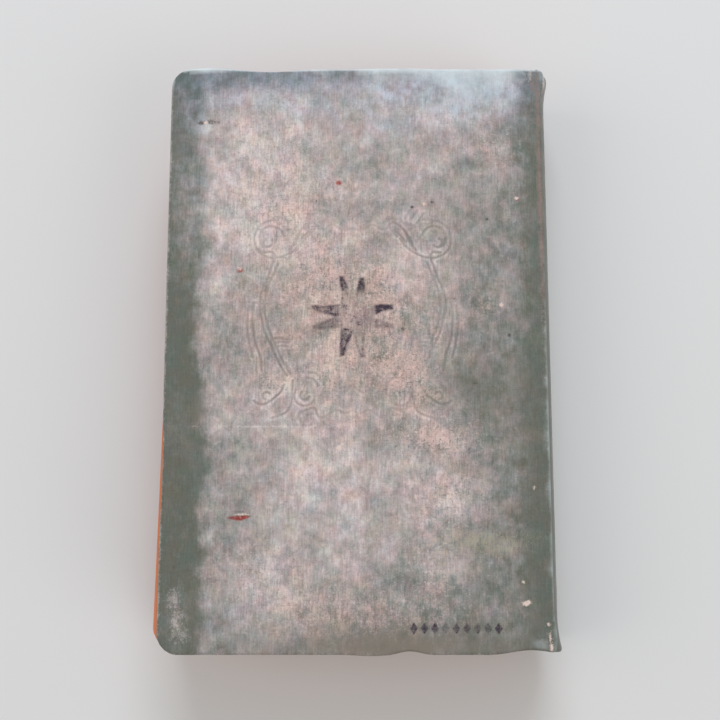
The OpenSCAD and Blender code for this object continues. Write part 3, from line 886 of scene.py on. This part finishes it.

# Small holes bare the board, dots of dirt lie on the cloth, one dot above the slit is a painted shadow of its
# lifted lip, and chips and the torn joint are pale.
hole, dot, chip = np.zeros((3, len(x)))
for marks, mask in ((holes, hole), (dots, dot), (chips, chip)):
    for px, py, rx, ry, amount in marks:
        mask += amount * on_top * np.exp(-0.7 * np.hypot((x - px) / rx, (y - py) / ry) ** 3)
torn = [(47.9, -72.2, 0.6, 0.6, 0.7), (48.3, -75.4, 0.45, 1.5, 0.75), (48.6, -78.2, 0.55, 1.3, 0.9)]
chip += patches(torn) * (z > top - 7)

# The die bit deepest on the left, and rubbing has polished the swollen rims of its lines; their paleness is
# also a painted highlight on the rims.
bite = np.clip(0.34 + patches([
    (-27, -2, 7, 17, 0.6), (-17, -12, 9, 8, 0.25), (-26, 29, 8, 8, 0.26), (-18, -15, 8, 6, 0.12),
    (10, 32, 5, 5, 0.4), (19, 27, 8, 9, 0.5), (24, 0, 5, 14, 0.5), (19, -15, 8, 6, 0.35),
]), 0, 1)
bite *= 0.9 + 0.25 * np.sin(0.9 * x + 0.5) * np.sin(0.7 * y + 1)
groove = bite * on_top * smooth(0.42, 0.08, from_line)
ridge = bite * on_top * smooth(1.05, 0.7, from_line) * smooth(0.35, 0.62, from_line)

# The cross has four bars with swallowtail ends, so eight points. Its ink has worn off the middle and
# stays best along the outlines and at the points. Each half of an arm has the ink's strength, how much of
# its inside is left, and how far out it is bare, with the arm's reach as 1.
ink_left = {
    (0, 1): (1.0, 1.0, 0.5), (0, -1): (0.5, 0.9, 0.4), (1, 1): (1.0, 1.0, 0.6), (1, -1): (1.0, 0.9, 0.55),
    (2, 1): (0.62, 0.9, 0.2), (2, -1): (0.95, 0.8, 0.2), (3, 1): (0.62, 0.3, 0.3), (3, -1): (1.0, 0.78, 0.2),
}
bar = cross_spread / cross_reach
notch_from = 0.42
tip = 0.11
ink = np.zeros(len(x))
cx, cy = (x * mm - die_x) / cross_reach, (y * mm - die_y) / cross_reach
cx, cy = cx + 0.016 * np.sin(7 * cy + 0.8), cy + 0.016 * np.sin(6 * cx)
for (arm, half), (strength, inside, bare_to) in ink_left.items():
    a = math.radians(90 * arm)
    along = cx * math.cos(a) + cy * math.sin(a)
    aside = half * (-cx * math.sin(a) + cy * math.cos(a))
    notch = (bar - tip) * (along - notch_from) / (1 - notch_from)
    depth = np.minimum(np.minimum(bar - aside, 0.88 * (aside - notch)), np.minimum(along - bar, aside + 0.02))
    depth = np.minimum(depth, 1.02 - along)
    outline = inside + (1 - inside) * smooth(0.085, 0.03, depth)
    lasting = 0.4 + 0.6 * smooth(bare_to, bare_to + 0.22, along)
    ink = np.maximum(ink, strength * outline * lasting * smooth(-0.05, 0.04, depth))
long_way, short_way = np.maximum(np.abs(cx), np.abs(cy)), np.minimum(np.abs(cx), np.abs(cy))
ink = np.maximum(ink, 0.46 * smooth(0.62, 0.42, long_way) * (short_way < bar)) * on_top
for n in range(row["lozenges"]):
    middle_x = row["start"] + (row["end"] - row["start"]) * (n + 0.5) / row["lozenges"]
    off = np.abs(x * mm - middle_x) / row["half_w"] + np.abs(y * mm - row["y"]) / row["half_h"]
    ink = np.maximum(ink, on_top * (0.72 + 0.2 * math.sin(1.7 * n)) * smooth(1.12, 0.8, off))

sunk_mm = 0.12 * np.clip(hole, 0, 1) - 0.06 * np.clip(chip, 0, 1) + 0.2 * groove - 0.05 * ridge
place[:, 2] -= mm * sunk_mm * on_top
set_corners(rear_case, place)
rear_marks = dict(
    worn=worn, salmon=salmon, blush=blush, cool=cool, yellow=yellow, soil=soil, rub=rub, bloom=bloom, tan=tan,
    hole=hole, dot=dot, chip=chip, groove=groove, ridge=ridge, ink=ink)
for name, values in rear_marks.items():
    paint(rear_case, name, np.clip(values, 0, 1))
paint(rear_case, "place", place / mm)
spring_up(rear_case)


# Starched green calico: a close plain weave filled with dyed starch. Rubbing takes the dyed filler off the
# threads and bares greyish pink cotton, so it is matte, streaked along the warp and mottled all over.
# The real threads lie 0.3 mm apart; they are drawn at 0.55 mm, so that a thread shows in the picture.
def worn_calico():
    thread_mm = 0.55
    even = (1, 1, 1)
    made, tree, shader = start_material("starched_green_calico", Roughness=0.82, Sheen_Weight=0.12,
                                        Sheen_Roughness=0.5, Specular_IOR_Level=0.3)
    place = add(tree, "Attribute", attribute_name="place").outputs["Vector"]
    part = {name: add(tree, "Attribute", attribute_name=name).outputs["Fac"] for name in rear_marks}

    # Each pattern has its size in millimetres, its detail, its roughness and how it is squeezed each way.
    patterns = dict(
        mottle=(7.0, 5, 0.6, even), blotch=(2.4, 5, 0.6, (1, 0.75, 1)), speck=(0.8, 4, 0.7, even),
        warp=(1.0, 4, 0.65, (2.2, 0.25, 2.2)), weft=(1.0, 4, 0.65, (0.28, 2.0, 0.28)),
        grain=(0.4, 3, 0.7, even), hue=(6.0, 4, 0.6, even), patch=(2.2, 3, 0.6, (1, 0.6, 1)),
        sour=(5.0, 5, 0.6, even), pale_fleck=(0.9, 1, 0.6, even), dark_fleck=(0.8, 1, 0.6, even))
    for name, (size_mm, detail, rough, squeeze) in patterns.items():
        where = add(tree, "Mapping", {"Vector": place, "Scale": squeeze})
        part[name] = add(tree, "TexNoise",
                         {"Vector": where, "Scale": 1 / size_mm, "Detail": detail, "Roughness": rough})
    for name, way in (("warp_rows", "X"), ("weft_rows", "Y")):
        rows = add(tree, "TexWave", {"Vector": place, "Scale": 0.314 / thread_mm, "Distortion": 2.5,
                                     "Detail": 2.0, "Detail Scale": 1.5}, bands_direction=way)
        part[name] = rows.outputs["Fac"]

    # Each sum has the value it starts from and the weight of each of its parts.
    sums = dict(
        broad=(-1.255, dict(mottle=1.0, blotch=0.9, speck=0.25, warp=0.36)),
        # The ridge's weight pales the rims of the die's lines: rubbing, and a painted highlight.
        rubbed=(0.0, dict(worn=0.8, ridge=0.16)),
        fine=(-0.725, dict(speck=0.3, warp=0.5, weft=0.25, grain=0.4)),
        strong=(0.75, dict(salmon=1.8, blush=0.75)),
        handled=(0.0, dict(worn=0.25, salmon=1.0)),
        patchy=(0.0, dict(blotch=0.35, speck=0.45, grain=0.2)),
        gritty=(0.0, dict(blotch=0.15, speck=0.4, grain=0.45)),
        flaky=(0.0, dict(blotch=0.35, speck=0.5, grain=0.15)),
        height=(0.0, dict(warp_rows=0.25, weft_rows=0.25, speck=0.5, warp=0.5)))
    for name, (value, weights) in sums.items():
        for item, weight in weights.items():
            value = add(tree, "Math", {0: part[item], 1: weight, 2: value}, operation="MULTIPLY_ADD")
        part[name] = value

    # The dye, from whole to rubbed off, under three sizes of tint and the light and dark of the threads.
    uneven = add(tree, "MapRange", {"Value": part["worn"], "From Max": 0.35, "To Min": 0.36, "To Max": 0.864},
                 interpolation_type="SMOOTHSTEP")
    bare = add(tree, "Math", {0: part["broad"], 1: uneven, 2: part["rubbed"]}, operation="MULTIPLY_ADD")
    cloth = add(tree, "ValToRGB", {"Fac": bare}, stops=[
        (0.0, "#656a61"), (0.16, "#73766f"), (0.36, "#8b8a87"), (0.56, "#a6a09e"), (0.72, "#b9b0af"),
        (0.8, "#c6bdbc"), (1.0, "#dcd4d2")])
    shades = []
    for name, codes in (("hue", ("#dce3df", "#e2e4e1", "#e7e2e1", "#eae0dd")),
                        ("patch", ("#e0e4e3", "#e4e4e3", "#e7e2e1", "#e8dfdd")),
                        ("sour", ("#e0e2e8", "#e4e4e5", "#e5e3e0", "#e6e3db"))):
        tint = add(tree, "ValToRGB", {"Fac": part[name]}, stops=list(zip((0.3, 0.45, 0.56, 0.7), codes)))
        shades.append(add(tree, "VectorMath", {0: tint, 1: (1.265,) * 3}, operation="MULTIPLY"))
    shades.append(add(tree, "Math", {0: part["fine"], 1: part["strong"], 2: 1.0}, operation="MULTIPLY_ADD"))
    for shade in shades:
        cloth = add(tree, "MixRGB", {"Fac": 1.0, "Color1": cloth, "Color2": shade}, blend_type="MULTIPLY")
    for name, low, high, tint in (("pale_fleck", 0.62, 0.72, "#e8dcd4"),
                                  ("dark_fleck", 0.37, 0.27, "#77746a")):
        fleck = add(tree, "MapRange",
                    {"Value": part[name], "From Min": low, "From Max": high, "To Max": 0.75})
        share = add(tree, "Math", {0: fleck, 1: part["handled"]}, operation="MULTIPLY")
        cloth = add(tree, "MixRGB", {"Fac": share, "Color1": cloth, "Color2": colour(tint)})

    # Each layer of wear and dirt, and of painted light and shade, has its mark and colour, the pattern that
    # breaks it up and by how much, the values at which it starts and is whole, and the way it lies on the
    # cloth. It shows only where there is a mark.
    raw_board = add(tree, "ValToRGB", {"Fac": part["speck"]},
                    stops=[(0.36, "#6e3531"), (0.5, "#93403a"), (0.64, "#b9776c")])
    wear = (
        ("blush", colour("#fff2e9"), "mottle", 1.2, 0.0, 1.0, "MULTIPLY"),
        ("salmon", colour("#d8b3a5"), "patchy", 4.0, 0.25, 1.5, "MIX"),
        # The cool layer is a painted reflection of the head light, and the pale layer after it a painted
        # highlight.
        ("cool", colour("#d8eafa"), "patchy", 1.2, 0.1, 1.0, "MULTIPLY"),
        ("bloom", colour("#ced8d8"), "mottle", 1.4, 0.05, 1.25, "MIX"),
        ("yellow", colour("#9c9a76"), "gritty", 4.0, 0.2, 1.2, "MIX"),
        # The soil layer is dirt, and painted shade along the tail edge.
        ("soil", colour("#7d7468"), "mottle", 1.0, 0.1, 1.2, "MIX"),
        ("groove", colour("#6f6a64"), "patchy", 2.8, 0.16, 1.45, "MIX"),
        ("tan", colour("#86746c"), "patchy", 4.0, 0.15, 1.0, "MIX"),
        ("rub", colour("#dccfc8"), "patchy", 2.4, 0.15, 1.15, "MIX"),
        ("ink", colour("#3a2f3a"), "flaky", 4.0, 0.14, 1.1, "MIX"),
        # The dot layer holds dirt, and one painted shadow above the slit.
        ("dot", colour("#4a443f"), "gritty", 3.0, 0.22, 0.9, "MIX"),
        ("hole", raw_board, "gritty", 2.2, 0.28, 0.85, "MIX"),
        ("chip", colour("#dcc6ba"), "gritty", 2.6, 0.3, 0.8, "MIX"))
    for name, tint, breaks, amount, low, high, way in wear:
        here = add(tree, "MapRange", {"Value": part[name], "From Max": 0.12})
        broken = add(tree, "Math", {0: part[breaks], 1: amount, 2: part[name]}, operation="MULTIPLY_ADD")
        share = add(tree, "MapRange", {"Value": broken, "From Min": low + amount / 2,
                                       "From Max": high + amount / 2, "To Max": here})
        cloth = add(tree, "MixRGB", {"Fac": share, "Color1": cloth, "Color2": tint}, blend_type=way)
    bump = add(tree, "Bump", {"Height": part["height"], "Strength": 0.35, "Distance": 0.08 * mm})
    fill(shader, {"Base Color": cloth, "Normal": bump})
    return made


calico = worn_calico()
rear_case.data.shade_smooth()
dress(rear_case, calico)
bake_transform(rear_case)
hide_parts("rear_cloth", "rear_joint_cloth", "spine_cloth")

# The front cover has lain on shelves: it is rubbed evenly in the middle and dark round its rim.
# Its mottling is read from further along the cloth, so that the covers differ.
place = corners_of(front_case)
x, y = place.T[:2] / mm
further_on = np.array((300.0, 0.0, 0.0))
from_rim = np.minimum(x - fore, half_h - np.abs(y))
front_marks = dict.fromkeys(rear_marks, np.zeros(len(x)))
front_marks["worn"] = 0.62 * smooth(2, 16, np.minimum(from_rim, joint - x)) + patches([
    (-20, 30, 22, 30, 0.2), (14, -30, 20, 26, 0.18),
])
front_marks["salmon"] = patches([(0, 10, 26, 40, 0.25), (-24, -50, 14, 12, 0.3)])
front_marks["rub"] = 0.7 * smooth(1.5, 0.1, from_rim)
for name, values in front_marks.items():
    paint(front_case, name, np.clip(values, 0, 1))
paint(front_case, "place", place / mm + further_on)
front_case.data.shade_smooth()
dress(front_case, calico)
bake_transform(front_case)
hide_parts("front_cloth", "front_joint_cloth")


# The pastedowns: the endpaper halves glued over the boards and turn-ins, whose edges show through as a step.
# A narrow guard of paper at the joint opens out as the cover turns and bridges the gutter.
sink = 0.25 * mm
pasted_t = 0.1 * mm
pasted_corner_r = 3.5 * mm
guard_rows = 14
window_x = fore_x + turn_in + 1.5 * mm
window_y = cover_half_h - turn_in - 1.5 * mm
for node, body, up in (("rear_pastedown", "rear_cover", 1), ("front_pastedown", "front_cover", -1)):
    lo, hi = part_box(node)
    face_z = lo.z if up > 0 else hi.z
    paper = new_sheet(node + "_sheet", lo.x, hi.x, hi.y, face_z, 2.5 * mm, pasted_corner_r)
    edit(paper)
    pick(paper, "verts", lambda v: v.co.x > window_x and abs(v.co.y) < window_y)
    bpy.ops.transform.translate(value=(0, 0, up * sink))
    pick(paper, "edges", lambda e: e.is_boundary and min(v.co.x for v in e.verts) > hi.x - hair)
    bpy.ops.mesh.extrude_edges_move()
    bpy.ops.transform.resize(value=(1, 1, 0), center_override=(0, 0, face_z))
    guard = Vector((0.05 * mm, 0, -0.07 * mm * up))
    for _ in range(guard_rows):
        bpy.ops.mesh.extrude_edges_move(TRANSFORM_OT_translate={"value": guard / guard_rows})
    done()
    finish_with(paper, "SOLIDIFY", thickness=pasted_t, offset=up)
    if body == "rear_cover":
        spring_up(paper)
    keep_place(paper)
    paper.data.shade_smooth()
    dress(paper, endpaper)
    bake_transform(paper)
    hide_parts(node)


# The stage: a plain pale floor of matte paper under soft studio light.
# The light is strongest and coolest from the head of the book, and a pale room fills the shadows.
bpy.ops.object.select_all(action="DESELECT")
bpy.ops.mesh.primitive_plane_add(size=4, location=(0, 0, 0))
floor = bpy.context.object
floor.name = "floor"
dress(floor, start_material("pale_floor", Roughness=0.9, Base_Color=colour("#d9d8d5"))[0])

for name, at, size, power, tint in (
        ("head_light", (0.05, 1.2, 1.0), 0.9, 16.0, "#eef4ff"),
        ("fore_light", (-1.1, -0.1, 1.0), 1.0, 4.5, "#fff8f0"),
        ("spine_light", (1.1, -0.7, 0.8), 1.1, 5.5, "#fffaf4")):
    lamp = bpy.data.lights.new(name, "AREA")
    lamp.size = size
    lamp.energy = power
    lamp.color = colour(tint)[:3]
    light = bpy.data.objects.new(name, lamp)
    light.location = at
    light.rotation_euler = (-Vector(at)).to_track_quat("-Z", "Y").to_euler()
    bpy.context.scene.collection.objects.link(light)

world = bpy.data.worlds.new("soft_room")
world.use_nodes = True
world.node_tree.nodes["Background"].inputs["Color"].default_value = (0.95, 0.97, 1.0, 1)
world.node_tree.nodes["Background"].inputs["Strength"].default_value = 0.46
bpy.context.scene.world = world
bpy.context.scene.view_settings.view_transform = "Standard"


# The camera stands almost straight over the rear cover, a little to the tail side.
# Its lens is worked out from a picture 720 pixels wide.
camera_far = 280 * mm
camera_tilt = math.radians(8.61)
focal_px = 1040.5
frame_px = 720
lens = bpy.data.cameras.new("camera")
lens.sensor_width = 36
lens.lens = focal_px / frame_px * lens.sensor_width
lens.clip_start = 0.01
camera = bpy.data.objects.new("camera", lens)
aim = Vector((fore_x + 52.83 * mm, -2.89 * mm, book_t))
back = Vector((0, -math.sin(camera_tilt), math.cos(camera_tilt)))
camera.location = aim + camera_far * back
camera.rotation_euler = (-back).to_track_quat("-Z", "Y").to_euler()
bpy.context.scene.collection.objects.link(camera)
bpy.context.scene.camera = camera
